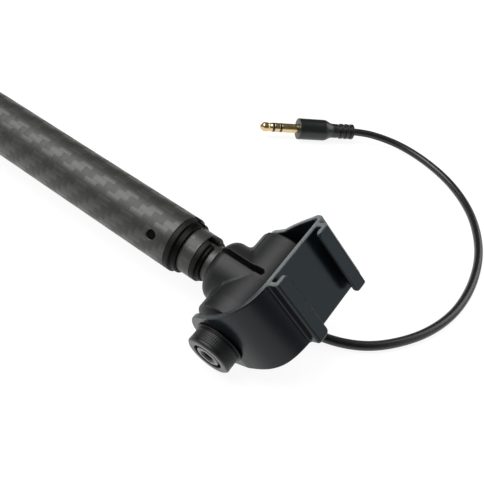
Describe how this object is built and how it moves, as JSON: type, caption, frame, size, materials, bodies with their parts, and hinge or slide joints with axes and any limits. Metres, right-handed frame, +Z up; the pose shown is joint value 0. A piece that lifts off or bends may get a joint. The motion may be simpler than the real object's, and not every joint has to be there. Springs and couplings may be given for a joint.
{
  "type": "boom pole",
  "caption": "Slender telescopic carbon-fibre microphone pole with friction bushes, a tilting accessory-shoe yoke, a clamp knob and a short lead ending in a 3.5 mm stereo plug",
  "frame": {"origin": "under the middle of the closed pole, on the surface it lies on (the short lead and its plug left out)", "axes": "+X along the pole towards the head, +Z up from the surface, +Y to the side the lead lies on"},
  "size_m": [0.4811, 0.1427, 0.0396],
  "materials": {
    "carbon_tube": "carbon fibre twill under satin clear coat",
    "bush_plastic": "moulded acetal, satin",
    "head_plastic": "glass-filled nylon, fine satin texture",
    "black_coated_metal": "black semi-gloss coating",
    "dark_screw": "black oxide",
    "zinc_steel": "bright zinc",
    "soft_rubber": "matte",
    "grip_foam": "closed-cell foam, matte",
    "lead_pvc": "moulded PVC, satin",
    "gold_plate": "polished gold plate"
  },
  "bodies": {
    "outer_section": {"outer_tube": "carbon_tube", "outer_mouth_bush": "bush_plastic", "grip_sleeve": "grip_foam", "butt_cap": "soft_rubber", "jack_thread": "zinc_steel", "jack_body": "bush_plastic", "jack_nut": "zinc_steel", "coiled_lead": "lead_pvc"},
    "middle_section": {"middle_tube": "carbon_tube", "middle_tail_bush": "bush_plastic", "middle_mouth_bush": "bush_plastic"},
    "inner_slider": {"inner_tail_bush": "bush_plastic"},
    "head": {"inner_tube": "carbon_tube", "head_body": "head_plastic", "cable_grommet": "soft_rubber", "left_washer": "soft_rubber", "right_washer": "soft_rubber", "mic_cable": "lead_pvc", "plug_body": "lead_pvc", "plug_sleeve": "gold_plate", "plug_ring_insulator": "bush_plastic", "plug_ring": "gold_plate", "plug_tip_insulator": "bush_plastic", "plug_tip": "gold_plate"},
    "yoke": {"yoke": "black_coated_metal", "pivot_nut": "zinc_steel"},
    "knob": {"clamp_knob": "black_coated_metal", "pivot_bolt": "dark_screw"}
  },
  "joints": [
    {"name": "middle_slide", "type": "slide", "parent": "outer_section", "child": "middle_section", "axis": [1, 0, 0], "range_m": [0, 0.33]},
    {"name": "inner_slide", "type": "slide", "parent": "middle_section", "child": "inner_slider", "axis": [1, 0, 0], "range_m": [0, 0.31]},
    {"name": "head_turn", "type": "hinge", "parent": "inner_slider", "child": "head", "pos_m": [0.18749, 0.00133, 0.01439], "axis": [1, 0, 0], "range_deg": [-180, 180]},
    {"name": "yoke_tilt", "type": "hinge", "parent": "head", "child": "yoke", "pos_m": [0.20749, 0.00133, 0.01439], "axis": [0, -0.9397, -0.342], "range_deg": [-41.3, 60]},
    {"name": "knob_turn", "type": "hinge", "parent": "yoke", "child": "knob", "pos_m": [0.20749, 0.00133, 0.01439], "axis": [0, 0.9397, 0.342], "continuous": true}
  ]
}
